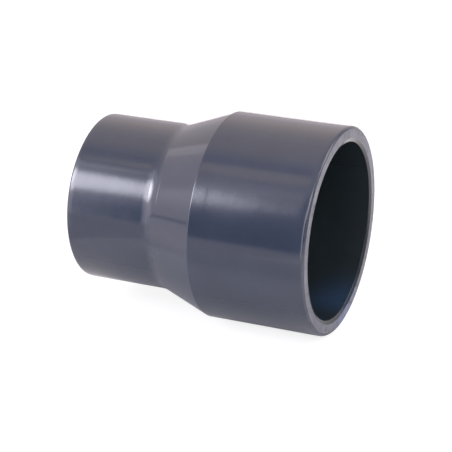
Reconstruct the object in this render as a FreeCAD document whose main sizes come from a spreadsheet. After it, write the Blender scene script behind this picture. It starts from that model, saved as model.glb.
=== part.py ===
"""Plastic pipe reducer with a solvent socket at each end, laid on its side.

The reducer is one moulding of revolution about the X axis. It is turned here in
one piece, and then cut square to its axis into its working sections, each a
solid of its own that meets its neighbours face to face: two sockets, the two
pipe stops behind them, and the cone between the stops.

Frame: millimetres, +Z up. The origin is the centre of the large end's face, +X
runs along the pipe axis out of the large mouth, and the small end is at -X.
Places along the axis are given as depths, counted from the large end's face.
"""
import FreeCAD, Part
import math
import os
import Sketcher

OUT_FOLDER = "parts"
SHEET_NAME = "sizes"
FULL_TURN = 360
NEAR = 0.001

# alias, value in millimetres, what it is
SIZES = [
    ("large_outer_d", 75.0, "outside of the large barrel, itself a spigot"),
    ("large_bore_d", 63.3, "bore of the large socket"),
    ("large_socket_depth", 38.0, "large end's face to its pipe stop"),
    ("large_stop_length", 4.6, "axial length of the large pipe stop"),
    ("large_stop_height", 3.65, "how far the large pipe stop stands in from the bore"),
    ("large_barrel_length", 42.6, "large end's face to the cone"),
    ("large_rim_radius", 1.2, "rounding of the large end's outer rim"),
    ("cone_length", 18.4, "axial length of the outside cone"),
    ("small_outer_d", 61.0, "outside of the small barrel"),
    ("small_bore_d", 50.3, "bore of the small socket"),
    ("small_socket_depth", 31.0, "small end's face to its pipe stop"),
    ("small_stop_length", 4.0, "axial length of the small pipe stop"),
    ("small_stop_height", 3.15, "how far the small pipe stop stands in from the bore"),
    ("small_barrel_length", 32.1, "small end's face to the cone"),
    ("small_rim_radius", 1.0, "rounding of the small end's outer rim"),
    ("mouth_bevel_width", 1.25, "how far each mouth's bevel reaches up the end face"),
    ("mouth_bevel_depth", 0.55, "how far each mouth's bevel reaches into the bore"),
    ("neck_radius", 5.5, "fillet where the small barrel meets the cone"),
    ("stop_edge_radius", 0.8, "rounding of each pipe stop's inner edge"),
]


def cell(alias):
    """Name one size in the sheet, as an expression reads it."""
    return f"<<{SHEET_NAME}>>.{alias}"


def half(alias):
    """Name half of a size in the sheet, such as a diameter's radius."""
    return f"{cell(alias)} / 2"


# Depths from the large end's face
LARGE_FACE = "0"
LARGE_STOP = cell("large_socket_depth")
LARGE_STOP_END = f"{LARGE_STOP} + {cell('large_stop_length')}"
LARGE_CREASE = cell("large_barrel_length")
SMALL_CREASE = f"{LARGE_CREASE} + {cell('cone_length')}"
SMALL_FACE = f"{SMALL_CREASE} + {cell('small_barrel_length')}"
SMALL_STOP = f"{SMALL_FACE} - {cell('small_socket_depth')}"
SMALL_STOP_END = f"{SMALL_STOP} - {cell('small_stop_length')}"

# Radii about the pipe axis: each barrel's outside, its bore, and the waterway past its stop
LARGE_OUTSIDE = half("large_outer_d")
LARGE_BORE = half("large_bore_d")
LARGE_WAY = f"{LARGE_BORE} - {cell('large_stop_height')}"
SMALL_OUTSIDE = half("small_outer_d")
SMALL_BORE = half("small_bore_d")
SMALL_WAY = f"{SMALL_BORE} - {cell('small_stop_height')}"

# The corner between the small barrel and the cone, which the profile rounds
NECK = "neck"

# The wall's profile: along the outside to the small end, and back along the inside
PROFILE = [
    ("large_rim", LARGE_FACE, LARGE_OUTSIDE),
    ("large_crease", LARGE_CREASE, LARGE_OUTSIDE),
    (NECK, SMALL_CREASE, SMALL_OUTSIDE),
    ("small_rim", SMALL_FACE, SMALL_OUTSIDE),
    ("small_mouth", SMALL_FACE, SMALL_BORE),
    ("small_seat", SMALL_STOP, SMALL_BORE),
    ("small_stop_edge", SMALL_STOP, SMALL_WAY),
    ("small_way_end", SMALL_STOP_END, SMALL_WAY),
    ("large_way_end", LARGE_STOP_END, LARGE_WAY),
    ("large_stop_edge", LARGE_STOP, LARGE_WAY),
    ("large_seat", LARGE_STOP, LARGE_BORE),
    ("large_mouth", LARGE_FACE, LARGE_BORE),
]

# Rims that are rounded or chamfered once the profile is turned, and the size that does it
DRESSINGS = [
    ("Fillet", "large_rim", "large_rim_radius"),
    ("Fillet", "small_rim", "small_rim_radius"),
    ("Fillet", "large_stop_edge", "stop_edge_radius"),
    ("Fillet", "small_stop_edge", "stop_edge_radius"),
    ("Chamfer", "large_mouth", "mouth_bevel_width"),
    ("Chamfer", "small_mouth", "mouth_bevel_width"),
]

# Each section runs between two depths: the one nearer the large end comes first
SECTIONS = [
    ("large_socket", LARGE_FACE, LARGE_STOP),
    ("large_pipe_stop", LARGE_STOP, LARGE_STOP_END),
    ("reducing_cone", LARGE_STOP_END, SMALL_STOP_END),
    ("small_pipe_stop", SMALL_STOP_END, SMALL_STOP),
    ("small_socket", SMALL_STOP, SMALL_FACE),
]


def make_sheet(doc):
    """Fill the spreadsheet: one row per size, with its alias and a note."""
    sheet = doc.addObject("Spreadsheet::Sheet", SHEET_NAME)
    sheet.Label = SHEET_NAME
    for row, (alias, value, note) in enumerate(SIZES, start=1):
        sheet.set(f"A{row}", alias)
        sheet.set(f"B{row}", str(value))
        sheet.setAlias(f"B{row}", alias)
        sheet.set(f"C{row}", note)
    doc.recompute()
    return sheet


def read(sheet, expression):
    """Value of one of this file's expressions, with the sheet's present sizes."""
    return float(sheet.evalExpression(expression))


def bind(sketch, constraint, name, expression):
    """Add a named constraint to a sketch, and let an expression set its value."""
    index = sketch.addConstraint(constraint)
    sketch.renameConstraint(index, name)
    sketch.setExpression(f"Constraints.{name}", expression)


def place_point(sketch, geometry, label, depth, radius, point):
    """Tie the start of one element, or a lone point, to its depth and radius."""
    if depth == LARGE_FACE:
        sketch.addConstraint(Sketcher.Constraint("PointOnObject", geometry, 1, -2))
    else:
        along = Sketcher.Constraint("DistanceX", geometry, 1, -1, 1, -point.x)
        bind(sketch, along, f"{label}_depth", depth)
    across = Sketcher.Constraint("DistanceY", -1, 1, geometry, 1, point.y)
    bind(sketch, across, f"{label}_radius", radius)


def round_neck(sketch, sheet, cone_line, barrel_line, corner, cone_start):
    """Join the cone's line and the small barrel's with an arc tangent to both.

    The two lines still aim at the sharp corner, which a construction point holds.
    """
    radius = read(sheet, cell("neck_radius"))
    slope = (cone_start - corner).normalize()
    turn = math.atan2(slope.y, slope.x)
    reach = radius * math.tan(turn / 2)
    centre = corner + FreeCAD.Vector(-reach, radius, 0)
    circle = Part.Circle(centre, FreeCAD.Vector(0, 0, 1), radius)
    arc = sketch.addGeometry(Part.ArcOfCircle(circle, -math.pi / 2, turn - math.pi / 2), False)
    sketch.addConstraint(Sketcher.Constraint("Tangent", cone_line, 2, arc, 2))
    sketch.addConstraint(Sketcher.Constraint("Tangent", arc, 1, barrel_line, 1))
    bind(sketch, Sketcher.Constraint("Radius", arc, radius), "neck_arc_radius", cell("neck_radius"))
    sharp = sketch.addGeometry(Part.Point(corner), True)
    sketch.addConstraint(Sketcher.Constraint("PointOnObject", sharp, 1, cone_line))
    sketch.addConstraint(Sketcher.Constraint("PointOnObject", sharp, 1, barrel_line))
    return sharp


def draw_profile(doc, sheet, body):
    """Sketch the wall in the body's XZ plane, with each corner tied to the sheet."""
    sketch = body.newObject("Sketcher::SketchObject", "wall_profile")
    side_plane = next(f for f in body.Origin.OriginFeatures if f.Role == "XZ_Plane")
    sketch.AttachmentSupport = (side_plane, [""])
    sketch.MapMode = "FlatFace"
    points = [FreeCAD.Vector(-read(sheet, depth), read(sheet, radius), 0) for _, depth, radius in PROFILE]
    count = len(points)
    for i in range(count):
        sketch.addGeometry(Part.LineSegment(points[i], points[(i + 1) % count]), False)
    for i, (label, depth, radius) in enumerate(PROFILE):
        before = (i - 1) % count
        held = i
        if label == NECK:
            held = round_neck(sketch, sheet, before, i, points[i], points[before])
        else:
            sketch.addConstraint(Sketcher.Constraint("Coincident", before, 2, i, 1))
        place_point(sketch, held, label, depth, radius, points[i])
    doc.recompute()
    return sketch


def rim_edges(shape, depth, radius):
    """Names of the circular edges at one depth and radius of a turned solid."""
    found = []
    for index, edge in enumerate(shape.Edges, start=1):
        curve = edge.Curve
        if not isinstance(curve, Part.Circle):
            continue
        if abs(curve.Center.x + depth) < NEAR and abs(curve.Radius - radius) < NEAR:
            found.append(f"Edge{index}")
    if not found:
        raise RuntimeError(f"no edge at depth {depth:.3f} mm and radius {radius:.3f} mm")
    return found


def bevel_mouth(doc, feature, width, depth, rim_radius):
    """Give a chamfer its two sizes, the wide one on the end face."""
    feature.ChamferType = "Two distances"
    feature.setExpression("Size", cell(width))
    feature.setExpression("Size2", cell("mouth_bevel_depth"))
    doc.recompute()
    try:
        rim_edges(feature.Shape, depth, rim_radius)
    except RuntimeError:
        feature.FlipDirection = True
        doc.recompute()
        rim_edges(feature.Shape, depth, rim_radius)


def make_moulding(doc, sheet):
    """Turn the wall's profile about the pipe axis, then round and chamfer its rims."""
    body = doc.addObject("PartDesign::Body", "moulding")
    sketch = draw_profile(doc, sheet, body)
    turned = body.newObject("PartDesign::Revolution", "turned_wall")
    turned.Profile = (sketch, [""])
    turned.ReferenceAxis = (sketch, ["H_Axis"])
    turned.Angle = FULL_TURN
    doc.recompute()
    corners = {label: (depth, radius) for label, depth, radius in PROFILE}
    for kind, label, size in DRESSINGS:
        depth, radius = corners[label]
        edges = rim_edges(body.Tip.Shape, read(sheet, depth), read(sheet, radius))
        base = body.Tip
        feature = body.newObject(f"PartDesign::{kind}", f"{label}_{kind.lower()}")
        feature.Base = (base, edges)
        if kind == "Fillet":
            feature.setExpression("Radius", cell(size))
        else:
            bevel_mouth(doc, feature, size, read(sheet, depth), read(sheet, radius) + read(sheet, cell(size)))
        doc.recompute()
    return body


def cut_section(doc, moulding, name, near, far):
    """Keep the moulding's stretch between two depths, as a section of its own."""
    slab = doc.addObject("Part::Cylinder", f"{name}_slab")
    slab.Placement = FreeCAD.Placement(FreeCAD.Vector(), FreeCAD.Rotation(FreeCAD.Vector(0, 1, 0), 90))
    slab.setExpression("Placement.Base.x", f"-({far})")
    slab.setExpression("Height", f"({far}) - ({near})")
    slab.setExpression("Radius", f"max({cell('large_outer_d')}; {cell('small_outer_d')})")
    section = doc.addObject("Part::Common", name)
    section.Label = name
    section.Base = moulding
    section.Tool = slab
    section.Placement = FreeCAD.Placement()
    doc.recompute()
    return section


def check(doc, sections):
    """Stop if an object failed to compute or a section isn't one sound solid."""
    for item in doc.Objects:
        if "Invalid" in item.State or "Error" in item.State:
            raise RuntimeError(f"{item.Name} did not compute: {item.State}")
    for section in sections:
        shape = section.Shape
        if shape.isNull() or not shape.isValid() or len(shape.Solids) != 1:
            raise RuntimeError(f"{section.Label} isn't one sound solid")


def report(moulding, sections):
    """Print each section's extent and volume, and where the reducer balances."""
    for section in sections:
        box = section.Shape.BoundBox
        print(f"{section.Label}: x {box.XMin:.2f} to {box.XMax:.2f}, {section.Shape.Volume:.0f} mm3")
    whole = moulding.Shape.Solids[0]
    total = sum(section.Shape.Volume for section in sections)
    print(f"moulding {whole.Volume:.0f} mm3, sections {total:.0f} mm3")
    print(f"balances {-whole.CenterOfMass.x:.2f} mm behind the large end's face")


def main():
    """Build the reducer, cut it into sections, check them and write their STEP files."""
    doc = FreeCAD.newDocument("pipe_reducer")
    sheet = make_sheet(doc)
    moulding = make_moulding(doc, sheet)
    sections = [cut_section(doc, moulding, *planes) for planes in SECTIONS]
    doc.recompute()
    check(doc, sections)
    report(moulding, sections)
    os.makedirs(OUT_FOLDER, exist_ok=True)
    for section in sections:
        section.Shape.exportStep(f"{OUT_FOLDER}/{section.Label}.step")


main()
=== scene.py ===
"""Visual model of a moulded plastic pipe reducer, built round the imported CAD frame.

The fitting is one moulding in five named sections along the X axis: the large socket at x = 0, its pipe
stop, the reducing cone, the small pipe stop and the small socket. Lengths are in metres.
"""

import logging
import math
from dataclasses import dataclass, field
from enum import Enum

import bpy
import numpy as np
from bpy.types import ID, Material, Mesh, Node, NodeTree, Object, World
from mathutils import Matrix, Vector


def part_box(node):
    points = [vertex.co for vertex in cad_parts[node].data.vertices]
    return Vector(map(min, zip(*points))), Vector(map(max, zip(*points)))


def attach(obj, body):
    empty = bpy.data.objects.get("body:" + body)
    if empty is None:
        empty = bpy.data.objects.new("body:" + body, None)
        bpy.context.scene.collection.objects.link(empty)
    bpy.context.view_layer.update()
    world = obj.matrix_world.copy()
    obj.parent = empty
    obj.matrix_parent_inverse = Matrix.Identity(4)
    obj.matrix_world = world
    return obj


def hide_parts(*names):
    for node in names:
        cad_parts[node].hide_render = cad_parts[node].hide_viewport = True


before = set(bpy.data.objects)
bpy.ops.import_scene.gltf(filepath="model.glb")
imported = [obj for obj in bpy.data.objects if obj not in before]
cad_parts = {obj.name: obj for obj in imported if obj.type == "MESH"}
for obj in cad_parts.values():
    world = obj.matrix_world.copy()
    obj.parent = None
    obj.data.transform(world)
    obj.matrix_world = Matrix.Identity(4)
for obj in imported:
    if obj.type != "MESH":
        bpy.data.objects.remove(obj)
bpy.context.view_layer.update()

LOG = logging.getLogger("reducer")
MM = 0.001
TURNS = 320  # columns round a turned piece
CRISP_DEG = 24.0  # a profile's bend over which its ring stays sharp
STUDIO_AZIMUTH = 23.9  # how far the studio's front is turned from -Y towards +X
FINE_REACH, FINE_STEP = 1.2 * MM, 0.05 * MM
ROLL_STEPS, RIM_STEPS, FACE_STEPS, LEAD_STEPS = 14, 18, 14, 10
BORE_STEPS, SHOULDER_STEPS, JOIN_STEPS, SEAT_STEPS, EDGE_STEPS, WAY_STEPS = 26, 6, 8, 10, 12, 20

Point = tuple[float, float]
Colour = tuple[float, float, float]
Socket = bpy.types.NodeSocket


class Skin(Enum):
    """The finishes that the moulding shows, in the order of a piece's material slots."""

    MOULDED = 0
    CONE = 1
    FACED = 2
    BORE = 3


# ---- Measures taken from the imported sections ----


@dataclass(frozen=True)
class Section:
    """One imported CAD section: its two planes along X and its smallest and largest radius."""

    node: str
    near: float
    far: float
    inner: float
    outer: float

    @classmethod
    def of(cls, node: str) -> "Section":
        """Measures a CAD node.

        Args:
            node: the node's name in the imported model.

        Returns:
            The section, with near as its higher x.
        """
        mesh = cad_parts[node].data
        flat = np.zeros(len(mesh.vertices) * 3, np.float32)
        mesh.vertices.foreach_get("co", flat)
        points = flat.reshape(-1, 3).astype(float)
        radius = np.hypot(points[:, 1], points[:, 2])
        low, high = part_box(node)
        return cls(node, float(high.x), float(low.x), float(radius.min()), float(radius.max()))


@dataclass(frozen=True)
class OuterWall:
    """The outside of the whole moulding as one radius over x, shared by every section.

    It is a barrel, a cone and a smaller barrel. The corner between barrel and cone is a convex arc, the
    neck is a hollow arc, fine tool rings lie on the cone, and a slow unevenness of the mould runs over all.
    """

    large_radius: float
    small_radius: float
    crease: float
    slope: float
    large_face: float
    small_face: float
    neck_round: float = 12.0 * MM
    crease_round: float = 1.0 * MM
    ring_depths: tuple[float, ...] = (0.55, 1.15, 13.6, 14.25, 14.85, 16.05, 16.6)
    ring_heights: tuple[float, ...] = (15.0, 12.0, 6.0, 9.0, 8.0, 13.0, 10.0)
    ring_width: float = 0.13 * MM
    unevenness: float = 0.0055 * MM
    waves: tuple[tuple[float, ...], ...] = ((3, 95, 0.6, 1.0), (2, -140, 2.1, 0.8), (7, 210, 4.0, 0.35))
    wave_top: float = 2.2
    calm_gaps: tuple[float, ...] = (3.5 * MM, 2.6 * MM, 0.0)
    calm_reaches: tuple[float, ...] = (14 * MM, 12 * MM, 9 * MM)

    @property
    def neck(self) -> float:
        """The x where the cone's line meets the small barrel's line."""
        return self.crease - (self.large_radius - self.small_radius) / self.slope

    @property
    def lean(self) -> float:
        """The cone's angle to the axis, in radians."""
        return math.atan(self.slope)

    def plain(self, x: np.ndarray) -> np.ndarray:
        """The radius without rings or unevenness.

        Formula: the smaller of barrel and cone line left of the crease, never under the small barrel. Each
        of the two corners gives way to a circle that touches both lines, so r = centre -/+ sqrt(round^2 -
        (x - centre_x)^2) between its tangent points.

        Args:
            x: places along the axis.

        Returns:
            One radius for each place.
        """
        cone = self.large_radius - (self.crease - x) * self.slope
        radius = np.clip(cone, self.small_radius, self.large_radius)
        reach = math.tan(self.lean / 2)
        inner_end = self.neck - self.neck_round * reach
        inner_start = self.neck + self.neck_round * reach * math.cos(self.lean)
        centre = self.small_radius + self.neck_round
        hollow = centre - np.sqrt(np.clip(self.neck_round**2 - (x - inner_end) ** 2, 0, None))
        radius = np.where((x > inner_end) & (x < inner_start), hollow, radius)
        outer_start = self.crease + self.crease_round * reach
        outer_end = self.crease - self.crease_round * reach * math.cos(self.lean)
        centre = self.large_radius - self.crease_round
        rounded = centre + np.sqrt(np.clip(self.crease_round**2 - (x - outer_start) ** 2, 0, None))
        return np.where((x < outer_start) & (x > outer_end), rounded, radius)

    def relief(self, x: np.ndarray, turn: np.ndarray) -> np.ndarray:
        """The small height of the surface over the plain wall.

        Formula: tool rings are narrow bell curves at fixed distances from the crease, each one strongest on
        one side of the pipe. The unevenness is a sum of slow waves, each size * sin(count * t + rate * x +
        start), less a top that keeps it inside the plain wall. It dies away at both faces and the crease.

        Args:
            x: places along the axis, as a column.
            turn: angles round the axis, as a row.

        Returns:
            A height for each place and angle.
        """
        height = np.zeros(np.broadcast(x, turn).shape)
        for number, (depth, size) in enumerate(zip(self.ring_depths, self.ring_heights)):
            bell = np.exp(-(((x - self.crease + depth * MM) / self.ring_width) ** 2))
            height = height - bell * size * 1e-6 * (0.75 + 0.25 * np.cos(turn - 3.4 + 0.5 * number))
        waves = sum(size * np.sin(count * turn + rate * x + start) for count, rate, start, size in self.waves)
        calm = 1.0
        places = (self.large_face - x, x - self.small_face, np.abs(x - self.crease))
        for place, gap, reach in zip(places, self.calm_gaps, self.calm_reaches):
            share = np.clip((place - gap) / reach, 0, 1)
            calm = calm * share**2 * (3 - 2 * share)
        return height + (waves - self.wave_top) * self.unevenness * calm

    @classmethod
    def of(cls, sections: dict[str, Section]) -> "OuterWall":
        """Reads the wall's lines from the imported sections.

        Args:
            sections: the five sections by node name.

        Returns:
            The shared outer wall.
        """
        cone, stop = sections["reducing_cone"], sections["small_pipe_stop"]
        large, small = sections["large_socket"], sections["small_socket"]
        slope = (large.outer - stop.outer) / (cone.near - cone.far)
        return cls(large.outer, small.outer, cone.near, slope, large.near, small.far)


# ---- Turned meshes ----


def line(start: Point, end: Point, steps: int) -> np.ndarray:
    """A straight run of a profile, without its last point.

    Formula: start + share * (end - start), with the share from 0 in equal steps.

    Args:
        start: (x, radius) of the first point.
        end: (x, radius) of the point after the last.
        steps: how many points.

    Returns:
        One row of x and radius for each point.
    """
    share = np.arange(steps)[:, None] / steps
    return np.array(start) + share * (np.array(end) - np.array(start))


def arc(start: Point, corner: Point, end: Point, steps: int) -> np.ndarray:
    """A rounded corner of a profile, without its last point.

    Formula: (a^2 start + 2ab w corner + b^2 end) / (a^2 + 2ab w + b^2) with b from 0 to 1 and a = 1 - b,
    where w is the cosine of half the angle that the corner turns. Equal legs give a circle.

    Args:
        start: (x, radius) where the rounding leaves the first line.
        corner: (x, radius) of the sharp corner.
        end: (x, radius) where it joins the second line.
        steps: how many points.

    Returns:
        One row of x and radius for each point.
    """
    p, q, s = (np.array(v, float) for v in (start, corner, end))
    before, after = (q - p) / np.linalg.norm(q - p), (s - q) / np.linalg.norm(s - q)
    weight = math.sqrt(max(0.0, (1 + float(before @ after)) / 2))
    b = (np.arange(steps) / steps)[:, None]
    a = 1 - b
    share = a**2 + 2 * a * b * weight + b**2
    return (a**2 * p + 2 * a * b * weight * q + b**2 * s) / share


@dataclass
class Profile:
    """A closed outline in the half plane of x and radius, kept as runs that each have a finish."""

    runs: list[np.ndarray] = field(default_factory=list)
    skins: list[Skin] = field(default_factory=list)
    walls: list[bool] = field(default_factory=list)

    def add(self, run: np.ndarray, skin: Skin, wall: bool = False) -> None:
        """Adds a run of points.

        Args:
            run: rows of x and radius, without the next run's first point.
            skin: the finish between this run's points and the next.
            wall: whether the run lies on the outside and carries its relief.
        """
        self.runs.append(run)
        self.skins.append(skin)
        self.walls.append(wall)

    def path(self, skin: Skin, corners: tuple[Point, ...], steps: tuple[int, ...]) -> None:
        """Adds straight runs from corner to corner.

        Args:
            skin: their finish.
            corners: (x, radius) of each corner in order.
            steps: how many points each run has.
        """
        for start, end, count in zip(corners, corners[1:], steps):
            self.add(line(start, end, count), skin)

    def points(self) -> np.ndarray:
        """All points in order, as rows of x and radius."""
        return np.concatenate(self.runs)

    def finishes(self) -> np.ndarray:
        """The material slot of the band after each point."""
        return np.repeat([s.value for s in self.skins], [len(r) for r in self.runs])

    def on_wall(self) -> np.ndarray:
        """1 where a point carries the outer wall's relief, 0 elsewhere."""
        return np.repeat(np.array(self.walls, float), [len(r) for r in self.runs])


def add_object(name: str, data: ID) -> Object:
    """Puts a new object into the scene.

    Args:
        name: its name.
        data: its mesh, camera or lamp.

    Returns:
        The object.
    """
    made = bpy.data.objects.new(name, data)
    bpy.context.scene.collection.objects.link(made)
    return made


def turn_profile(name: str, profile: Profile, outside: OuterWall) -> Object:
    """Revolves a closed outline about the X axis into one closed mesh.

    Formula: the point in row i and column j is (x_i, -r sin t_j, r cos t_j) with t_j = j * 2 pi / columns
    and r = r_i plus the outer wall's relief at (x_i, t_j) on the runs that carry it. Rows and columns both
    close on themselves, so the skin has no edge and no pole.

    Args:
        name: the piece's name.
        profile: the outline, in the order outside first, towards the small end.
        outside: the wall whose relief the outer runs carry.

    Returns:
        The piece, at the origin.
    """
    points = profile.points()
    rows, columns = len(points), TURNS
    turn = np.arange(columns)[None, :] * (2 * math.pi / columns)
    along = np.repeat(points[:, :1], columns, axis=1)
    radius = points[:, 1:] + profile.on_wall()[:, None] * outside.relief(points[:, :1], turn)
    grid = np.stack([along, -radius * np.sin(turn), radius * np.cos(turn)], axis=-1)

    row, column = np.meshgrid(np.arange(rows), np.arange(columns), indexing="ij")
    next_row, next_column = (row + 1) % rows, (column + 1) % columns
    corners = [row * columns + column, next_row * columns + column,
               next_row * columns + next_column, row * columns + next_column]
    quads = np.stack(corners, axis=-1).reshape(-1, 4)

    mesh = bpy.data.meshes.new(name)
    mesh.vertices.add(rows * columns)
    mesh.vertices.foreach_set("co", grid.astype(np.float32).ravel())
    mesh.loops.add(quads.size)
    mesh.loops.foreach_set("vertex_index", quads.astype(np.int32).ravel())
    mesh.polygons.add(len(quads))
    mesh.polygons.foreach_set("loop_start", np.arange(0, quads.size, 4, dtype=np.int32))
    mesh.polygons.foreach_set("material_index", np.repeat(profile.finishes(), columns).astype(np.int32))
    mesh.update(calc_edges=True)
    mesh.validate()
    mesh.shade_smooth()
    mark_crisp_rings(mesh, points, columns)
    add_unrolled_map(mesh, points, columns)
    return add_object(name, mesh)


def mark_crisp_rings(mesh: Mesh, points: np.ndarray, columns: int) -> None:
    """Marks the edges that run round the piece along the profile's sharp corners.

    Formula: a corner is sharp where the angle between the step into it and the step out of it is over the
    crisp angle.

    Args:
        mesh: the turned mesh, its vertices in rows.
        points: the closed outline, rows of x and radius.
        columns: how many vertices a row has.
    """
    into = points - np.roll(points, 1, axis=0)
    out = np.roll(points, -1, axis=0) - points
    bend = np.arctan2(into[:, 0] * out[:, 1] - into[:, 1] * out[:, 0], (into * out).sum(axis=1))
    crisp = np.abs(np.degrees(bend)) > CRISP_DEG
    ends = np.zeros(len(mesh.edges) * 2, np.int32)
    mesh.edges.foreach_get("vertices", ends)
    rows = ends.reshape(-1, 2) // columns
    sharp = (rows[:, 0] == rows[:, 1]) & crisp[rows[:, 0]]
    layer = mesh.attributes.get("sharp_edge") or mesh.attributes.new("sharp_edge", "BOOLEAN", "EDGE")
    layer.data.foreach_set("value", sharp)


def add_unrolled_map(mesh: Mesh, points: np.ndarray, columns: int) -> None:
    """Gives the piece a map with the girth across and the outline's length up, both from 0 to 1.

    Formula: u = column / columns and v = length along the outline / whole length, so each quad's corners
    take (u, v), (u, v'), (u', v') and (u', v).

    Args:
        mesh: the turned mesh, its quads in rows.
        points: the closed outline.
        columns: how many quads a row has.
    """
    steps = np.linalg.norm(np.roll(points, -1, axis=0) - points, axis=1)
    reach = np.concatenate([[0.0], np.cumsum(steps)]) / steps.sum()
    across = np.arange(columns + 1) / columns
    u = np.stack([across[:-1], across[:-1], across[1:], across[1:]], axis=-1)
    v = np.stack([reach[:-1], reach[1:], reach[1:], reach[:-1]], axis=-1)
    uv = np.zeros((len(points), columns, 4, 2), np.float32)
    uv[..., 0] = u[None, :, :]
    uv[..., 1] = v[:, None, :]
    layer = mesh.uv_layers.new(name="Unrolled")
    layer.data.foreach_set("uv", uv.ravel())


# ---- Shader tools ----


@dataclass
class Wiring:
    """A node tree with short calls that add nodes and join them."""

    tree: NodeTree

    @classmethod
    def emptied(cls, owner: Material | World) -> "Wiring":
        """Clears a node tree and takes hold of it.

        Args:
            owner: the material or world that has it.

        Returns:
            Its wiring.
        """
        owner.use_nodes = True
        owner.node_tree.nodes.clear()
        return cls(owner.node_tree)

    def finish(self, kind: str, shader: Socket) -> None:
        """Adds the tree's output node and joins the shader to it."""
        self.feed(self.node(kind).inputs["Surface"], shader)

    def node(self, kind: str, **settings: object) -> Node:
        """Adds a node.

        Args:
            kind: the node's Blender type.
            settings: attributes to set on it.

        Returns:
            The node.
        """
        made = self.tree.nodes.new(kind)
        for key, value in settings.items():
            setattr(made, key, value)
        return made

    def feed(self, socket: Socket, source: object) -> None:
        """Joins a socket to another node's output, or sets its value.

        Args:
            socket: the input.
            source: an output socket, a number or a tuple.
        """
        if isinstance(source, Socket):
            self.tree.links.new(source, socket)
        elif isinstance(source, tuple) and len(source) == 3 and len(socket.default_value) == 4:
            socket.default_value = (*source, 1.0)
        else:
            socket.default_value = source

    def math(self, operation: str, *sources: object, clamp: bool = False) -> Socket:
        """A Math node.

        Args:
            operation: what it does.
            sources: its inputs in order.
            clamp: whether the result is held between 0 and 1.

        Returns:
            Its output.
        """
        made = self.node("ShaderNodeMath", operation=operation, use_clamp=clamp)
        for socket, source in zip(made.inputs, sources):
            self.feed(socket, source)
        return made.outputs[0]

    def vector(self, operation: str, *sources: object, scale: object = None) -> Socket:
        """A Vector Math node.

        Args:
            operation: what it does.
            sources: its vectors in order.
            scale: the number that it scales by.

        Returns:
            Its vector, or its number where it has only that.
        """
        made = self.node("ShaderNodeVectorMath", operation=operation)
        for socket, source in zip(made.inputs, sources):
            self.feed(socket, source)
        if scale is not None:
            self.feed(made.inputs["Scale"], scale)
        return made.outputs["Value" if operation in ("LENGTH", "DOT_PRODUCT") else "Vector"]

    def band(self, value: object, low: float, high: float, first: float, last: float) -> Socket:
        """A smooth step from one number to another.

        Args:
            value: what is measured.
            low: the measure where the step starts.
            high: the measure where it ends.
            first: the result below it.
            last: the result above it.

        Returns:
            The step's output.
        """
        made = self.node("ShaderNodeMapRange", interpolation_type="SMOOTHSTEP")
        for socket, source in zip(made.inputs, (value, low, high, first, last)):
            self.feed(socket, source)
        return made.outputs[0]

    def mix(self, share: object, first: object, second: object) -> Socket:
        """A colour mix.

        Args:
            share: how much of the second.
            first: a colour.
            second: a colour.

        Returns:
            The mixed colour.
        """
        made = self.node("ShaderNodeMix", data_type="RGBA")
        for socket, source in zip((made.inputs[0], made.inputs[6], made.inputs[7]), (share, first, second)):
            self.feed(socket, source)
        return made.outputs[2]

    def noise(self, place: object, scale: object, detail: float, rough: float = 0.5) -> Socket:
        """A noise value from 0 to 1.

        Args:
            place: the coordinates.
            scale: how many features a metre.
            detail: octaves.
            rough: how strong the fine octaves are.

        Returns:
            The noise.
        """
        made = self.node("ShaderNodeTexNoise")
        for key, source in (("Vector", place), ("Scale", scale), ("Detail", detail), ("Roughness", rough)):
            self.feed(made.inputs[key], source)
        return made.outputs[0]


def new_group(name: str, inputs: dict[str, float], outputs: tuple[str, ...]) -> tuple[Wiring, dict, dict]:
    """Starts a shader node group.

    Args:
        name: the group's name.
        inputs: its number inputs and their usual values.
        outputs: its outputs, all numbers.

    Returns:
        The wiring, the inner outputs of its inputs and the inner inputs of its outputs.
    """
    tree = bpy.data.node_groups.new(name, "ShaderNodeTree")
    for label, value in inputs.items():
        socket = tree.interface.new_socket(name=label, in_out="INPUT", socket_type="NodeSocketFloat")
        socket.default_value = value
    for label in outputs:
        tree.interface.new_socket(name=label, in_out="OUTPUT", socket_type="NodeSocketFloat")
    wires = Wiring(tree)
    enter, leave = wires.node("NodeGroupInput"), wires.node("NodeGroupOutput")
    return wires, {s.name: s for s in enter.outputs}, {s.name: s for s in leave.inputs}


def turned_place(wires: Wiring) -> tuple[Socket, ...]:
    """Splits a surface point into its place along the pipe, its radius and its angle.

    Args:
        wires: the tree to build in.

    Returns:
        The object coordinates, x, the distance from the axis and the angle round it.
    """
    place = wires.node("ShaderNodeTexCoord").outputs["Object"]
    split = wires.node("ShaderNodeSeparateXYZ")
    wires.feed(split.inputs[0], place)
    x, y, z = split.outputs
    radius = wires.math("SQRT", wires.math("ADD", wires.math("MULTIPLY", y, y), wires.math("MULTIPLY", z, z)))
    angle = wires.math("ARCTAN2", y, z)
    return place, x, radius, angle


def pipe_vector(wires: Wiring, along: float, round_: float, out: float) -> Socket:
    """Coordinates that stretch with the pipe, for marks that run along or round it.

    Args:
        wires: the tree to build in.
        along: scale of the part along the axis.
        round_: scale of the part round the pipe, on a unit circle, so that it has no seam.
        out: scale of the distance from the axis.

    Returns:
        The stretched vector.
    """
    _, x, radius, angle = turned_place(wires)
    join = wires.node("ShaderNodeCombineXYZ")
    reach = wires.math("ADD", round_, wires.math("MULTIPLY", radius, out))
    wires.feed(join.inputs[0], wires.math("MULTIPLY", x, along))
    wires.feed(join.inputs[1], wires.math("MULTIPLY", wires.math("COSINE", angle), reach))
    wires.feed(join.inputs[2], wires.math("MULTIPLY", wires.math("SINE", angle), reach))
    return join.outputs[0]


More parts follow.
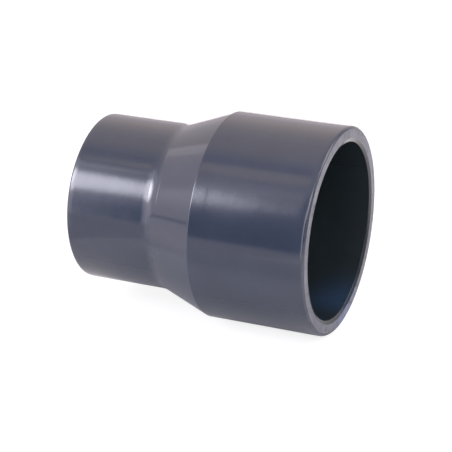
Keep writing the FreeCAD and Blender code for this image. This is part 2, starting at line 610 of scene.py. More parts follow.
class Effect:
    """A node group that is built once and shared by the finishes that show the effect."""

    name = "effect"

    def wire(self) -> NodeTree:
        """Builds the group, which each effect gives."""
        raise NotImplementedError

    def build(self) -> NodeTree:
        """The group, built on the first call."""
        return bpy.data.node_groups.get(self.name) or self.wire()


class MouldGrain(Effect):
    """Effect: the faint skin of a polished mould, with flow clouds in the colour and fine orange peel."""

    name = "mould_grain"

    def wire(self) -> NodeTree:
        """Builds the group.

        Returns:
            The group, with outputs Cloud, Speck and Height.
        """
        wires, enter, leave = new_group(self.name, {"Cloud Size": 60.0}, ("Cloud", "Speck", "Height"))
        place = turned_place(wires)[0]
        flow = pipe_vector(wires, 34.0, 0.9, 0.0)
        cloud = wires.noise(place, enter["Cloud Size"], 4.0, 0.55)
        stripes = wires.noise(flow, 5.0, 5.0, 0.6)
        both = wires.math("ADD", wires.math("MULTIPLY", cloud, 0.55), wires.math("MULTIPLY", stripes, 0.45))
        wires.feed(leave["Cloud"], wires.band(both, 0.34, 0.66, 0.0, 1.0))
        dust = wires.node("ShaderNodeTexVoronoi", feature="F1")
        wires.feed(dust.inputs["Vector"], place)
        wires.feed(dust.inputs["Scale"], 620.0)
        rare = wires.band(wires.noise(place, 240.0, 2.0), 0.60, 0.68, 0.0, 1.0)
        spot = wires.band(dust.outputs["Distance"], 0.05, 0.14, 1.0, 0.0)
        wires.feed(leave["Speck"], wires.math("MULTIPLY", spot, rare))
        peel = wires.noise(place, 900.0, 3.0, 0.5)
        slow = wires.noise(place, 190.0, 2.0, 0.5)
        wires.feed(leave["Height"], wires.math("ADD", wires.math("MULTIPLY", peel, 0.35), slow))
        return wires.tree


class HandlingMarks(Effect):
    """Effect: hair scratches from handling and storage, in two directions, and rubbed patches."""

    name = "handling_marks"

    def wire(self) -> NodeTree:
        """Builds the group.

        Returns:
            The group, with outputs Scratch and Rub.
        """
        wires, enter, leave = new_group(self.name, {"Amount": 1.0}, ("Scratch", "Rub"))
        place = turned_place(wires)[0]
        lines = []
        for tilt, scale in ((0.35, 1.0), (-0.8, 1.4), (1.45, 0.8)):
            turn = wires.node("ShaderNodeMapping")
            wires.feed(turn.inputs["Vector"], pipe_vector(wires, 55.0, 1.6, 0.0))
            turn.inputs["Rotation"].default_value = (tilt, 0.25 * tilt, tilt)
            turn.inputs["Scale"].default_value = (0.9 * scale, 26.0 * scale, 0.9 * scale)
            hair = wires.noise(turn.outputs[0], 2.3, 3.0, 0.6)
            lines.append(wires.band(hair, 0.695, 0.72, 0.0, 1.0))
        both = wires.math("MAXIMUM", wires.math("MAXIMUM", lines[0], lines[1]), lines[2])
        patch = wires.band(wires.noise(place, 75.0, 3.0, 0.6), 0.47, 0.62, 0.0, 1.0)
        scratch = wires.math("MULTIPLY", both, patch)
        wires.feed(leave["Scratch"], wires.math("MULTIPLY", scratch, enter["Amount"], clamp=True))
        rub = wires.band(wires.noise(place, 48.0, 5.0, 0.65), 0.45, 0.72, 0.0, 1.0)
        wires.feed(leave["Rub"], wires.math("MULTIPLY", rub, enter["Amount"], clamp=True))
        return wires.tree


@dataclass(frozen=True)
class RimWear(Effect):
    """Effect: the pale, rubbed line along both rims, where fittings knock against each other."""

    name = "rim_wear"
    large_face: float
    small_face: float
    reach: float = 0.9 * MM

    def wire(self) -> NodeTree:
        """Builds the group.

        Returns:
            The group, with the output Worn.
        """
        wires, _, leave = new_group(self.name, {}, ("Worn",))
        place, x, _, _ = turned_place(wires)
        from_large = wires.math("ABSOLUTE", wires.math("SUBTRACT", x, self.large_face))
        from_small = wires.math("ABSOLUTE", wires.math("SUBTRACT", x, self.small_face))
        gap = wires.math("DIVIDE", wires.math("MINIMUM", from_large, from_small), self.reach)
        patchy = wires.math("MULTIPLY", wires.noise(place, 260.0, 4.0, 0.65), 1.3)
        wires.feed(leave["Worn"], wires.band(wires.math("SUBTRACT", gap, patchy), -0.35, 0.25, 1.0, 0.0))
        return wires.tree


def use_group(wires: Wiring, tree: NodeTree, **values: float) -> dict[str, Socket]:
    """Places a node group in a material.

    Args:
        wires: the material's wiring.
        tree: the group.
        values: input values by name, with _ for a space.

    Returns:
        Its outputs by name.
    """
    made = wires.node("ShaderNodeGroup", node_tree=tree)
    for key, value in values.items():
        made.inputs[key.replace("_", " ")].default_value = value
    return {s.name: s for s in made.outputs}


# ---- Finishes ----


@dataclass(frozen=True)
class Finish:
    """What every finish of the moulding has in common."""

    name: str
    colour: Colour
    pale: Colour
    roughness: float
    ior: float = 1.52

    def start(self) -> tuple[Material, Wiring, Node]:
        """Makes an empty material with its shader.

        Returns:
            The material, its wiring and its Principled node.
        """
        material = bpy.data.materials.new(self.name)
        wires = Wiring.emptied(material)
        shader = wires.node("ShaderNodeBsdfPrincipled")
        shader.inputs["IOR"].default_value = self.ior
        wires.finish("ShaderNodeOutputMaterial", shader.outputs[0])
        material.diffuse_color = (*self.colour, 1.0)
        return material, wires, shader

    def emboss(self, wires: Wiring, shader: Node, height: Socket, depth: float) -> None:
        """Gives the shader a bump.

        Args:
            wires: the material's wiring.
            shader: its Principled node.
            height: the relief, about 0 to 1.
            depth: how deep a relief of 1 is.
        """
        bump = wires.node("ShaderNodeBump")
        bump.inputs["Strength"].default_value = 1.0
        bump.inputs["Distance"].default_value = depth
        wires.feed(bump.inputs["Height"], height)
        wires.feed(shader.inputs["Normal"], bump.outputs[0])


@dataclass(frozen=True)
class MouldedFinish(Finish):
    """The polished outside: blue grey, semi gloss, with flow clouds, hair scratches and worn rims."""

    faces: tuple[float, float] = (0.0, -0.0931)
    scratches: float = 0.8
    peel: float = 0.02

    def build(self) -> Material:
        """Builds the material.

        Returns:
            The material.
        """
        material, wires, shader = self.start()
        grain = use_group(wires, MouldGrain().build())
        marks = use_group(wires, HandlingMarks().build(), Amount=self.scratches)
        worn = use_group(wires, RimWear(*self.faces).build())["Worn"]
        dark = tuple(c * 0.93 for c in self.colour)
        light = tuple(c * 1.07 for c in self.colour)
        colour = wires.mix(grain["Cloud"], dark, light)
        colour = wires.mix(wires.math("MULTIPLY", marks["Scratch"], 0.12), colour, self.pale)
        colour = wires.mix(wires.math("MULTIPLY", grain["Speck"], 0.15), colour, self.pale)
        colour = wires.mix(wires.math("MULTIPLY", worn, 0.30), colour, self.pale)
        wires.feed(shader.inputs["Base Color"], colour)
        rough = wires.math("ADD", self.roughness, wires.math("MULTIPLY", marks["Rub"], 0.035))
        rough = wires.math("ADD", rough, wires.math("MULTIPLY", marks["Scratch"], 0.10))
        rough = wires.math("ADD", rough, wires.math("MULTIPLY", worn, 0.12))
        wires.feed(shader.inputs["Roughness"], rough)
        height = wires.math("SUBTRACT", grain["Height"], wires.math("MULTIPLY", marks["Scratch"], 0.10))
        self.emboss(wires, shader, height, self.peel * MM)
        return material


@dataclass(frozen=True)
class FacedFinish(Finish):
    """The end faces, cut flat after moulding: pale and matt, with tool rings, flecks and smears."""

    def build(self) -> Material:
        """Builds the material.

        Returns:
            The material.
        """
        material, wires, shader = self.start()
        place, _, radius, _ = turned_place(wires)
        streak = pipe_vector(wires, 0.0, 0.0, 1.0)
        swirl = wires.noise(place, 150.0, 5.0, 0.65)
        ring = wires.node("ShaderNodeTexNoise", noise_dimensions="1D")
        wires.feed(ring.inputs["W"], radius)
        ring.inputs["Scale"].default_value = 5200.0
        ring.inputs["Detail"].default_value = 2.0
        fleck = wires.band(wires.noise(place, 480.0, 3.0, 0.6), 0.56, 0.61, 0.0, 1.0)
        clump = wires.band(wires.noise(place, 95.0, 2.0, 0.5), 0.40, 0.54, 0.0, 1.0)
        fleck = wires.math("MULTIPLY", fleck, clump)
        smear = wires.noise(streak, 130.0, 3.0, 0.6)
        colour = wires.mix(wires.band(swirl, 0.35, 0.65, 0.0, 1.0), self.colour, self.pale)
        colour = wires.mix(wires.math("MULTIPLY", wires.band(smear, 0.5, 0.68, 0.0, 1.0), 0.25), colour,
                           tuple(c * 0.62 for c in self.colour))
        colour = wires.mix(wires.math("MULTIPLY", fleck, 0.85), colour, tuple(c * 0.25 for c in self.colour))
        wires.feed(shader.inputs["Base Color"], colour)
        rough = wires.math("ADD", self.roughness, wires.math("MULTIPLY", swirl, 0.10))
        wires.feed(shader.inputs["Roughness"], rough)
        height = wires.math("ADD", ring.outputs[0], wires.math("MULTIPLY", fleck, -0.8))
        self.emboss(wires, shader, height, 0.02 * MM)
        return material


@dataclass(frozen=True)
class BoreFinish(Finish):
    """The inside, shaped by a polished core: glossy, with draw lines along the pipe, and coloured darker than
    the outside as painted shade inside the bore.
    """

    def build(self) -> Material:
        """Builds the material.

        Returns:
            The material.
        """
        material, wires, shader = self.start()
        grain = use_group(wires, MouldGrain().build(), Cloud_Size=45.0)
        draw = wires.noise(pipe_vector(wires, 6.0, 1.0, 0.0), 42.0, 3.0, 0.6)
        drawn = wires.band(draw, 0.52, 0.70, 0.0, 1.0)
        dark = tuple(c * 0.88 for c in self.colour)
        colour = wires.mix(grain["Cloud"], dark, self.colour)
        colour = wires.mix(wires.math("MULTIPLY", drawn, 0.05), colour, self.pale)
        wires.feed(shader.inputs["Base Color"], colour)
        rough = wires.math("ADD", self.roughness, wires.math("MULTIPLY", drawn, 0.08))
        wires.feed(shader.inputs["Roughness"], rough)
        height = wires.math("ADD", grain["Height"], wires.math("MULTIPLY", drawn, 0.1))
        self.emboss(wires, shader, height, 0.015 * MM)
        return material


# ---- The five sections ----


@dataclass
class TurnedPiece:
    """A section of the moulding that is turned about the X axis and replaces its CAD node."""

    section: Section
    outside: OuterWall
    name: str

    def wall_run(self, start: float, end: float, stops: tuple[float, ...], spacing: float) -> np.ndarray:
        """Points of the outer wall between two places, finer near given stops.

        Formula: x in equal steps of the spacing, joined with fine steps within the fine reach of each stop.
        The radius is the outer wall's at each x.

        Args:
            start: the first x.
            end: the x after the last.
            stops: places that need fine steps.
            spacing: the usual step.

        Returns:
            Rows of x and radius, without the last point.
        """
        low, high = min(start, end), max(start, end)
        parts = [np.linspace(low, high, max(3, int((high - low) / spacing) + 1))]
        for stop in stops:
            parts.append(np.arange(stop - FINE_REACH, stop + FINE_REACH, FINE_STEP))
        x = np.unique(np.round(np.concatenate(parts), 7))
        inner = (x > low + 0.4 * FINE_STEP) & (x < high - 0.4 * FINE_STEP)
        x = np.concatenate([[low], x[inner], [high]])
        if start > end:
            x = x[::-1]
        return np.stack([x, self.outside.plain(x)], axis=-1)[:-1]

    def profile(self) -> Profile:
        """The piece's closed outline, which each section gives."""
        raise NotImplementedError

    def build(self) -> Object:
        """Turns the outline into the piece."""
        return turn_profile(self.name, self.profile(), self.outside)

    def dress(self, piece: Object, skins: dict[Skin, Material]) -> None:
        """Gives the piece its materials, drops the ones that it doesn't show, and joins it to the frame.

        Args:
            piece: the built piece.
            skins: the material for each skin.
        """
        mesh = piece.data
        slots = np.zeros(len(mesh.polygons), np.int32)
        mesh.polygons.foreach_get("material_index", slots)
        used = [skin for skin in Skin if np.any(slots == skin.value)]
        for skin in used:
            mesh.materials.append(skins[skin])
        order = np.zeros(len(Skin), np.int32)
        order[[skin.value for skin in used]] = np.arange(len(used))
        mesh.polygons.foreach_set("material_index", order[slots])
        mesh.update()
        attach(piece, "root")
        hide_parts(self.section.node)


@dataclass
class SocketPiece(TurnedPiece):
    """A socket: a barrel with a rolled rim, a flat cut face, a bevelled mouth and a smooth bore."""

    faces_large_end: bool = True
    roll_length: float = 2.4 * MM
    roll_drop: float = 0.06 * MM
    rim_round: float = 1.10 * MM
    bevel_rise: float = 1.25 * MM
    bevel_depth: float = 0.55 * MM
    lead_rise: float = 0.20 * MM
    lead_length: float = 5.0 * MM

    @property
    def drop(self) -> float:
        """How far the sharp rim corner would lie under the barrel."""
        return self.roll_drop * (1 + 2 * self.rim_round / self.roll_length)

    def rim_points(self, face: float, way: float) -> list[np.ndarray]:
        """The rim from the barrel round to the flat face.

        Formula: the radius falls by roll_drop * s^2 over the roll, then a circle turns it into the face.

        Args:
            face: the end face's x.
            way: +1 where the face looks towards +X, -1 towards -X.

        Returns:
            The runs roll and round, in order from the barrel to the face.
        """
        outer = self.section.outer
        share = (np.arange(ROLL_STEPS) / ROLL_STEPS)[:, None]
        roll_start = face - way * (self.rim_round + self.roll_length)
        roll = np.concatenate([roll_start + way * self.roll_length * share,
                               outer - self.roll_drop * share**2], axis=1)
        corner = (face, outer - self.drop)
        first = (face - way * self.rim_round, outer - self.roll_drop)
        return [roll, arc(first, corner, (face, corner[1] - self.rim_round), RIM_STEPS)]

    def mouth_points(self, face: float, way: float, bore: float) -> list[np.ndarray]:
        """The flat face and the bevelled mouth, from the rim inwards.

        Formula: a straight run, a straight bevel that is wider than deep with eased corners, then a lead-in
        whose radius falls in a straight line to the bore.

        Args:
            face: the end face's x.
            way: +1 where the face looks towards +X, -1 towards -X.
            bore: the socket's radius.

        Returns:
            The runs flat, bevel and lead-in.
        """
        start = self.section.outer - self.drop - self.rim_round
        mouth = bore + self.lead_rise
        top, deep = mouth + self.bevel_rise, face - way * self.bevel_depth
        ease = 0.1
        before = (face, top + ease * MM)
        high = (face - way * ease * self.bevel_depth, top - ease * self.bevel_rise)
        low = (deep + way * ease * self.bevel_depth, mouth + ease * self.bevel_rise)
        lead = (deep - way * ease * MM, mouth)
        flat = line((face, start), before, FACE_STEPS)
        bevel = np.concatenate([arc(before, (face, top), high, 4), line(high, low, 5),
                                arc(low, (deep, mouth), lead, 5)])
        return [flat, bevel, line(lead, (face - way * self.lead_length, bore), LEAD_STEPS)]

    def profile(self) -> Profile:
        """The socket's outline: barrel, rim, face, mouth, bore and the plane that joins the pipe stop.

        Returns:
            The closed outline, with its faces outwards.
        """
        way = 1.0 if self.faces_large_end else -1.0
        face = self.section.near if self.faces_large_end else self.section.far
        back = self.section.far if self.faces_large_end else self.section.near
        bore = self.section.inner
        roll, rounding = self.rim_points(face, way)
        flat, bevel, lead_in = self.mouth_points(face, way, bore)
        shape = Profile()
        shape.add(self.wall_run(back, float(roll[0, 0]), (), 0.9 * MM), Skin.MOULDED, wall=True)
        for run, skin in ((roll, Skin.MOULDED), (rounding, Skin.MOULDED), (flat, Skin.FACED),
                          (bevel, Skin.BORE), (lead_in, Skin.BORE)):
            shape.add(run, skin)
        shape.path(Skin.BORE, ((face - way * self.lead_length, bore), (back, bore)), (BORE_STEPS,))
        shape.path(Skin.MOULDED, ((back, bore), (back, self.section.outer)), (SHOULDER_STEPS,))
        return reverse(shape) if self.faces_large_end else shape


def reverse(shape: Profile) -> Profile:
    """Runs an outline the other way round, so that its faces look outwards.

    Formula: the points in reverse order, and each band keeps its finish. Every run then starts at the point
    where it ended before.

    Args:
        shape: the outline.

    Returns:
        The reversed outline.
    """
    turned = Profile()
    count = len(shape.runs)
    for index in reversed(range(count)):
        after = shape.runs[(index + 1) % count][:1]
        run = np.concatenate([shape.runs[index], after])[::-1][:-1]
        turned.add(run, shape.skins[index], shape.walls[index])
    return turned


@dataclass
class StopPiece(TurnedPiece):
    """A pipe stop: the ring inside the wall that a pipe's end comes up against."""

    seat_faces_large_end: bool = True
    edge_round: float = 0.8 * MM
    skin: Skin = Skin.MOULDED

    def profile(self) -> Profile:
        """The stop's outline: outer wall, the two joining planes, the seat's rounded edge and the way.

        Returns:
            The closed outline, with its faces outwards.
        """
        near, far = self.section.near, self.section.far
        way = self.section.inner
        start, end = self.outside.plain(np.array([near, far]))
        neck = self.outside.neck
        at_crease, at_neck = (self.outside.crease,), (neck, neck - 1 * MM, neck + 1.4 * MM)
        stops = at_crease if self.seat_faces_large_end else at_neck
        shape = Profile()
        shape.add(self.wall_run(near, far, stops, 0.25 * MM), self.skin, wall=True)
        edge = self.edge_round
        if self.seat_faces_large_end:
            shape.path(Skin.BORE, ((far, end), (far, way), (near - edge, way)), (JOIN_STEPS, JOIN_STEPS))
            shape.add(arc((near - edge, way), (near, way), (near, way + edge), EDGE_STEPS), Skin.BORE)
            shape.path(Skin.BORE, ((near, way + edge), (near, start)), (SEAT_STEPS,))
        else:
            shape.path(Skin.BORE, ((far, end), (far, way + edge)), (SEAT_STEPS,))
            shape.add(arc((far, way + edge), (far, way), (far + edge, way), EDGE_STEPS), Skin.BORE)
            shape.path(Skin.BORE, ((far + edge, way), (near, way), (near, start)), (JOIN_STEPS, JOIN_STEPS))
        return shape


@dataclass
class ConePiece(TurnedPiece):
    """The reducing cone: its outside carries the tool rings, and its inside narrows from stop to stop."""

    large_way: float = 0.0
    small_way: float = 0.0

    def profile(self) -> Profile:
        """The cone's outline: outer wall, the joining planes and the narrowing way.

        Returns:
            The closed outline, with its faces outwards.
        """
        near, far = self.section.near, self.section.far
        start, end = self.outside.plain(np.array([near, far]))
        stops = (near, near - 1.2 * MM, far, far + 1.2 * MM)
        shape = Profile()
        shape.add(self.wall_run(near, far, stops, 0.5 * MM), Skin.CONE, wall=True)
        inside = ((far, end), (far, self.small_way), (near, self.large_way), (near, start))
        shape.path(Skin.BORE, inside, (JOIN_STEPS, WAY_STEPS, JOIN_STEPS))
        return shape


# ---- Studio ----


def studio_axes() -> tuple[Vector, Vector]:
    """The level directions to the studio's right and to its front."""
    a = math.radians(STUDIO_AZIMUTH)
    return Vector((math.cos(a), math.sin(a), 0)), Vector((math.sin(a), -math.cos(a), 0))


@dataclass(frozen=True)
class ShotCamera:
    """The camera: a long lens that looks down a little, from the front and towards the large mouth."""

    azimuth: float = 23.4
    elevation: float = 21.87
    lens: float = 134.0
    sensor: float = 36.0
    offset: tuple[float, float, float] = (1.199, -0.314, 16.698)

    @property
    def axes(self) -> tuple[Vector, Vector, Vector]:
        """The camera's own directions.

        Returns:
            Right, up and back.
        """
        a, e = math.radians(self.azimuth), math.radians(self.elevation)
        right = Vector((math.cos(a), math.sin(a), 0))
        up = Vector((-math.sin(a) * math.sin(e), math.cos(a) * math.sin(e), math.cos(e)))
        back = Vector((math.sin(a) * math.cos(e), -math.cos(a) * math.cos(e), math.sin(e)))
        return right, up, back

    def place(self, target: Vector, unit: float) -> Object:
        """Makes the camera and sets it as the scene's.

        Args:
            target: the point that the offset counts from.
            unit: the length that the offset counts in.

        Returns:
            The camera.
        """
        data = bpy.data.cameras.new("shot_camera")
        data.lens, data.sensor_width = self.lens, self.sensor
        data.clip_start, data.clip_end = 0.05, 20.0
        camera = add_object("shot_camera", data)
        right, up, back = self.axes
        move = self.offset[0] * right + self.offset[1] * up + self.offset[2] * back
        camera.location = target + unit * move
        camera.rotation_euler = (-back).to_track_quat("-Z", "Y").to_euler()
        bpy.context.scene.camera = camera
        return camera


@dataclass(frozen=True)
class Patch:
    """A soft edged area of the room's light, by direction in degrees.

    Azimuth 0 is the studio's front and minus is to its left. A patch with a shade darkens what is there,
    and one without adds its light.
    """

    azimuth: float
    half_width: float
    side_edge: float
    elevation: float
    half_height: float
    top_edge: float
    light: Colour = (0.0, 0.0, 0.0)
    shade: float = 0.0
    oval: bool = False


@dataclass(frozen=True)
class StudioRoom:
    """The studio round the table: pale walls and ceiling, a dark side behind the camera, soft lamps."""

    base: Colour = (1.0, 1.0, 1.0)
    patches: tuple[Patch, ...] = ()

    def window_group(self) -> NodeTree:
        """Builds the group that gives a patch's soft mask, as a rectangle and as an oval.

        Returns:
            The group. The oval's softness is the side edge over the half width.
        """
        labels = ("Azimuth", "Elevation", "Centre Azimuth", "Half Width", "Side Edge",
                  "Centre Elevation", "Half Height", "Top Edge")
        wires, enter, leave = new_group("soft_window", dict.fromkeys(labels, 1.0), ("Mask", "Oval"))
        away = wires.math("SUBTRACT", enter["Azimuth"], enter["Centre Azimuth"])
        away = wires.math("WRAP", away, 180.0, -180.0)
        above = wires.math("SUBTRACT", enter["Elevation"], enter["Centre Elevation"])
        wide = wires.math("SUBTRACT", wires.math("ABSOLUTE", away), enter["Half Width"])
        high = wires.math("SUBTRACT", wires.math("ABSOLUTE", above), enter["Half Height"])
        halves = ((away, enter["Half Width"]), (above, enter["Half Height"]))
        shares = [wires.math("DIVIDE", *half) for half in halves]
        squares = [wires.math("MULTIPLY", share, share) for share in shares]
        out = wires.math("SUBTRACT", wires.math("SQRT", wires.math("ADD", *squares)), 1.0)
        soft = wires.math("DIVIDE", enter["Side Edge"], enter["Half Width"])
        wires.feed(leave["Oval"], wires.band(wires.math("DIVIDE", out, soft), -1.0, 1.0, 1.0, 0.0))
        masks = []
        for over, edge in ((wide, enter["Side Edge"]), (high, enter["Top Edge"])):
            masks.append(wires.band(wires.math("DIVIDE", over, edge), -1.0, 1.0, 1.0, 0.0))
        wires.feed(leave["Mask"], wires.math("MULTIPLY", *masks))
        return wires.tree

    def directions(self, wires: Wiring) -> tuple[Socket, Socket]:
        """Turns the ray's direction into two angles.

        Args:
            wires: the world's wiring.

        Returns:
            The azimuth and the elevation, in degrees.
        """
        ray = wires.node("ShaderNodeTexCoord").outputs["Generated"]
        axes = (*studio_axes(), Vector((0, 0, 1)))
        right, front, rise = (wires.vector("DOT_PRODUCT", ray, axis) for axis in axes)
        azimuth = wires.math("DEGREES", wires.math("ARCTAN2", right, front))
        return azimuth, wires.math("DEGREES", wires.math("ARCSINE", rise))

    def build(self) -> World:
        """Builds the world and makes it the scene's.

        Returns:
            The world.
        """
        world = bpy.data.worlds.new("studio_room")
        wires = Wiring.emptied(world)
        azimuth, elevation = self.directions(wires)
        window = self.window_group()
        light: object = self.base
        for patch in self.patches:
            made = wires.node("ShaderNodeGroup", node_tree=window)
            values = (azimuth, elevation, patch.azimuth, patch.half_width, patch.side_edge,
                      patch.elevation, patch.half_height, patch.top_edge)
            for socket, value in zip(made.inputs, values):
                wires.feed(socket, value)
            mask = made.outputs["Oval" if patch.oval else "Mask"]
            if patch.shade:
                keep = wires.math("SUBTRACT", 1.0, wires.math("MULTIPLY", mask, patch.shade))
                light = wires.vector("SCALE", light, scale=keep)
            else:
                light = wires.vector("ADD", light, wires.vector("SCALE", patch.light, scale=mask))
        sky, plain = wires.node("ShaderNodeBackground"), wires.node("ShaderNodeBackground")
        wires.feed(sky.inputs["Color"], light)
        wires.feed(plain.inputs["Color"], (1.0, 1.0, 1.0))
        seen = wires.node("ShaderNodeLightPath").outputs["Is Camera Ray"]
        join = wires.node("ShaderNodeMixShader")
        for socket, source in zip(join.inputs, (seen, sky.outputs[0], plain.outputs[0])):
            wires.feed(socket, source)
        wires.finish("ShaderNodeOutputWorld", join.outputs[0])
        bpy.context.scene.world = world
        return world


@dataclass(frozen=True)
class FloorShadow:
    """A soft oval shadow on the table top: where it lies, its half sizes and how dark it is."""

    right: float
    behind: float
    half_width: float
    half_depth: float
    darkness: float


@dataclass(frozen=True)
class StudioFloor:
    """The plain pale floor, and the smaller table top that stands for it in reflections."""

    height: float
    glow: float = 0.82
    albedo: float = 0.22
    gloss_albedo: float = 0.84
    front: float = 0.30
    left: float = 0.125
    right: float = 0.14
    shadows: tuple[FloorShadow, ...] = ()

    def sheet(self, name: str, low: Point, high: Point, lift: float) -> Object:
        """Makes one flat sheet, turned so that its front edge looks to the studio's front.

        Args:
            name: the sheet's name.
            low: its left and front edge, as distances to the right of and behind the origin.
            high: its right and back edge.
            lift: how far it lies over the floor.

        Returns:
            The sheet.
        """
        right, front = studio_axes()
        rise = Vector((0, 0, self.height + lift))
        corners = (low, (high[0], low[1]), high, (low[0], high[1]))
        mesh = bpy.data.meshes.new(name)
        mesh.from_pydata([u * right - v * front + rise for u, v in corners], [], [(0, 1, 2, 3)])
        sheet = add_object(name, mesh)
        return sheet

    def paint(self, name: str, albedo: float, glow: float,
              shadows: tuple[FloorShadow, ...] = ()) -> Material:
        """Makes a matt floor material.

        Args:
            name: its name.
            albedo: how much light it throws back.
            glow: how much light it adds.
            shadows: the soft shadows that lie on it.

        Returns:
            The material.
        """
        material = bpy.data.materials.new(name)
        wires = Wiring.emptied(material)
        matt, shine = wires.node("ShaderNodeBsdfDiffuse"), wires.node("ShaderNodeEmission")
        shine.inputs["Strength"].default_value = glow
        tone: object = (albedo, albedo, albedo)
        right, front = studio_axes()
        for shadow in shadows:
            middle = shadow.right * right - shadow.behind * front
            oval = wires.node("ShaderNodeMapping", vector_type="TEXTURE")
            wires.feed(oval.inputs["Vector"], wires.node("ShaderNodeTexCoord").outputs["Object"])
            wires.feed(oval.inputs["Location"], (middle.x, middle.y, self.height))
            wires.feed(oval.inputs["Rotation"], (0.0, 0.0, math.radians(STUDIO_AZIMUTH)))
            wires.feed(oval.inputs["Scale"], (shadow.half_width, shadow.half_depth, 1.0))
            away = wires.vector("LENGTH", oval.outputs[0])
            tone = wires.mix(wires.band(away, 0.45, 1.15, shadow.darkness, 0.0), tone, (0.0, 0.0, 0.0))
        wires.feed(matt.inputs["Color"], tone)
        both = wires.node("ShaderNodeAddShader")
        wires.feed(both.inputs[0], matt.outputs[0])
        wires.feed(both.inputs[1], shine.outputs[0])
        wires.finish("ShaderNodeOutputMaterial", both.outputs[0])
        return material

    def build(self) -> None:
        """Makes the floor that the camera sees and the one that the gloss sees."""
        wide = self.sheet("floor", (-6.0, -6.0), (6.0, 6.0), 0.0)
        wide.visible_glossy = False
        wide.data.materials.append(self.paint("pale_floor", self.albedo, self.glow))
        near = self.sheet("floor_in_gloss", (-self.left, -self.front), (self.right, 1.5), 0.02 * MM)
        near.visible_camera = near.visible_diffuse = near.visible_shadow = False
        near.data.materials.append(self.paint("pale_table", self.gloss_albedo, 0.0, self.shadows))


@dataclass(frozen=True)
class SoftLamp:
    """An area lamp that the camera doesn't see."""

    name: str
    azimuth: float
    elevation: float
    distance: float
    width: float
    height: float
    watts: float
    colour: Colour
    target: tuple[float, float, float]
    spread: float

    def build(self) -> Object:
        """Makes the lamp and points it at its target.

        Returns:
            The lamp.
        """
        a, e = math.radians(self.azimuth), math.radians(self.elevation)
        right, front = studio_axes()
        way = math.cos(e) * (math.sin(a) * right + math.cos(a) * front) + Vector((0, 0, math.sin(e)))
        data = bpy.data.lights.new(self.name, "AREA")
        data.shape, data.size, data.size_y, data.energy = "ELLIPSE", self.width, self.height, self.watts
        data.color = self.colour
        data.spread = math.radians(self.spread)
        lamp = add_object(self.name, data)
        lamp.location = Vector(self.target) + self.distance * way
        lamp.rotation_euler = (-way).to_track_quat("-Z", "Y").to_euler()
        lamp.visible_camera = False
        return lamp


ROOM = StudioRoom(base=(1.12, 1, 1.02), patches=(
    Patch(15, 66.5, 2, 2, 9.5, 3, shade=0.97),
    Patch(15, 66.5, 3, 12, 11, 8, shade=0.90),
    Patch(-41.5, 6, 2, 36, 16, 6, shade=0.75),
    Patch(64, 52, 10, -10, 50, 12, shade=0.85),
    Patch(126, 14, 6, 14, 18, 8, shade=0.75),
    Patch(180, 70, 10, 0, 4, 4, shade=0.25),
    Patch(-94, 11, 1.5, 66.5, 5, 1.5, shade=0.24),
    Patch(-92, 36, 4, 5, 30, 8, light=(0.65, 0.56, 0.61)),
    Patch(-90, 24, 2, -2, 0.9, 0.5, shade=0.75),
    Patch(-75, 22.5, 2, 30, 18, 10, light=(1, 1, 1.12)),
    Patch(-57.5, 8, 1.5, 8.5, 16.5, 4, light=(1.25, 1.2, 1.4)),
    Patch(-73, 7, 2, 18, 24, 5, light=(1.1, 1.1, 1.2)),
    Patch(-77, 11, 2, 47.5, 5.5, 2, light=(1.4, 1.3, 1.4)),
    Patch(-73, 9.5, 1.5, 61.5, 5, 1.5, light=(0.62, 0.46, 0.34)),
    Patch(-160, 38, 8, 49, 28, 8, light=(0.28, 0.18, 0.04)),
    Patch(-135, 6, 1, 31, 6, 1.5, light=(0.85, 0.80, 0.88)),
    Patch(-67, 16, 4, 30.3, 13, 0, light=(8.8, 8.7, 10), oval=True),
    Patch(-70, 7, 4, 30, 8, 0, light=(9, 9, 9.8), oval=True),
    Patch(-24, 11, 3, 8, 30, 6, light=(4.2, 4.1, 4.5)),
    Patch(25, 26, 6, 38, 12, 4, light=(4.6, 4.6, 4.7)),
    Patch(100, 16, 6, 24, 10, 0, light=(7, 7, 7.3), oval=True),
))
SHADOWS = (
    FloorShadow(-10 * MM, 30 * MM, 108 * MM, 88 * MM, 0.41),
    FloorShadow(-86 * MM, -84 * MM, 60 * MM, 54 * MM, 0.34),
)
MOUTH_LAMP = SoftLamp("mouth_lamp", 60, 68, 0.5, 0.016, 0.016, 0.0011,
                      colour=(0.18, 0.40, 1), target=(-0.0035, 0.009, -0.031), spread=2.1)


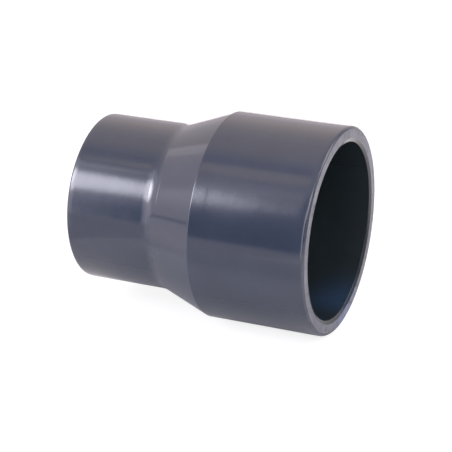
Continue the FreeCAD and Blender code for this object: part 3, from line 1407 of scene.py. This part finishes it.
def main() -> None:
    """Builds the five sections in order, dresses them and sets up the studio."""
    logging.basicConfig(level=logging.INFO, format="%(name)s: %(message)s")
    names = ("large_socket", "large_pipe_stop", "reducing_cone", "small_pipe_stop", "small_socket")
    sections = {name: Section.of(name) for name in names}
    outside = OuterWall.of(sections)
    ends = (outside.large_face, outside.small_face)
    plastic, pale = (0.0200, 0.0265, 0.0430), (0.10, 0.11, 0.14)
    finishes: dict[Skin, MouldedFinish | FacedFinish | BoreFinish] = {
        Skin.MOULDED: MouldedFinish("moulded_blue_grey", plastic, pale, 0.11, faces=ends),
        Skin.CONE: MouldedFinish("moulded_cone", plastic, pale, 0.11, faces=ends, scratches=0.6, peel=0.014),
        Skin.FACED: FacedFinish("cut_end_face", (0.115, 0.120, 0.150), (0.165, 0.165, 0.20), 0.42),
        # painted shade: the bore's colour is darker and less blue than the outside plastic, standing in for
        # the shade inside the bore
        Skin.BORE: BoreFinish("bore_with_painted_shade", (0.0160, 0.0225, 0.0265), (0.03, 0.04, 0.055), 0.15),
    }
    skins = {skin: finish.build() for skin, finish in finishes.items()}
    pieces: list[TurnedPiece] = [
        SocketPiece(sections["large_socket"], outside, "large_socket_barrel"),
        StopPiece(sections["large_pipe_stop"], outside, "large_stop_ring"),
        ConePiece(sections["reducing_cone"], outside, "cone_wall",
                  large_way=sections["large_pipe_stop"].inner, small_way=sections["small_pipe_stop"].inner),
        StopPiece(sections["small_pipe_stop"], outside, "small_stop_ring",
                  seat_faces_large_end=False, skin=Skin.CONE),
        SocketPiece(sections["small_socket"], outside, "small_socket_barrel", faces_large_end=False,
                    rim_round=0.9 * MM, roll_length=1.6 * MM),
    ]
    for part in pieces:
        piece = part.build()
        part.dress(piece, skins)
        LOG.info("%s: %d faces in place of %s", piece.name, len(piece.data.polygons), part.section.node)

    small_end = Vector((outside.small_face, 0.0, 0.0))
    camera = ShotCamera().place(small_end, outside.large_radius)
    LOG.info("camera at %s", tuple(round(v, 4) for v in camera.location))
    StudioFloor(-outside.large_radius, shadows=SHADOWS).build()
    ROOM.build()
    MOUTH_LAMP.build()
    scene = bpy.context.scene
    scene.view_settings.view_transform = "Standard"
    scene.view_settings.look = "None"


if __name__ == "__main__":
    main()
